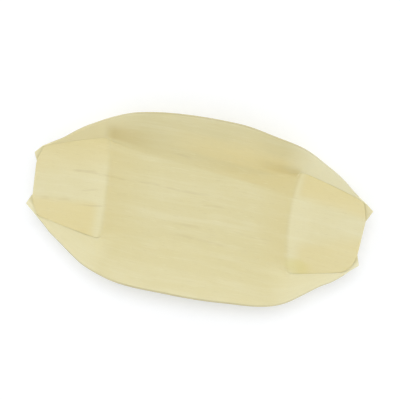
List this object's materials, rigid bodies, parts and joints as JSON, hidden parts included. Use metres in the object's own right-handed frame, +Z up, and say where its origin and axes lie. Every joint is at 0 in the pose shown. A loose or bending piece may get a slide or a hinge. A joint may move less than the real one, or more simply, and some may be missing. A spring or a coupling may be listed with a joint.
{
  "type": "wooden snack boat",
  "caption": "Shallow serving boat folded from a thin sheet of pale wood veneer, with flared sides, upturned end tabs and glued corner flaps, for holding snacks.",
  "frame": {"origin": "under the middle of the flat floor, on the surface that the boat stands on", "axes": "+X along the boat towards its right end, +Y across it towards its rear side, +Z up"},
  "size_m": [0.1924, 0.1014, 0.0249],
  "materials": {
    "veneer": "raw, matt",
    "glue": "dried clear glue"
  },
  "bodies": {
    "root": {"floor_panel": "veneer", "rear_side_wall": "veneer", "front_side_wall": "veneer", "right_end_tab": "veneer", "left_end_tab": "veneer", "rear_right_corner_flap": "veneer", "front_right_corner_flap": "veneer", "rear_left_corner_flap": "veneer", "front_left_corner_flap": "veneer", "rear_right_glue_spot": "glue", "front_right_glue_spot": "glue", "rear_left_glue_spot": "glue", "front_left_glue_spot": "glue"}
  },
  "joints": []
}
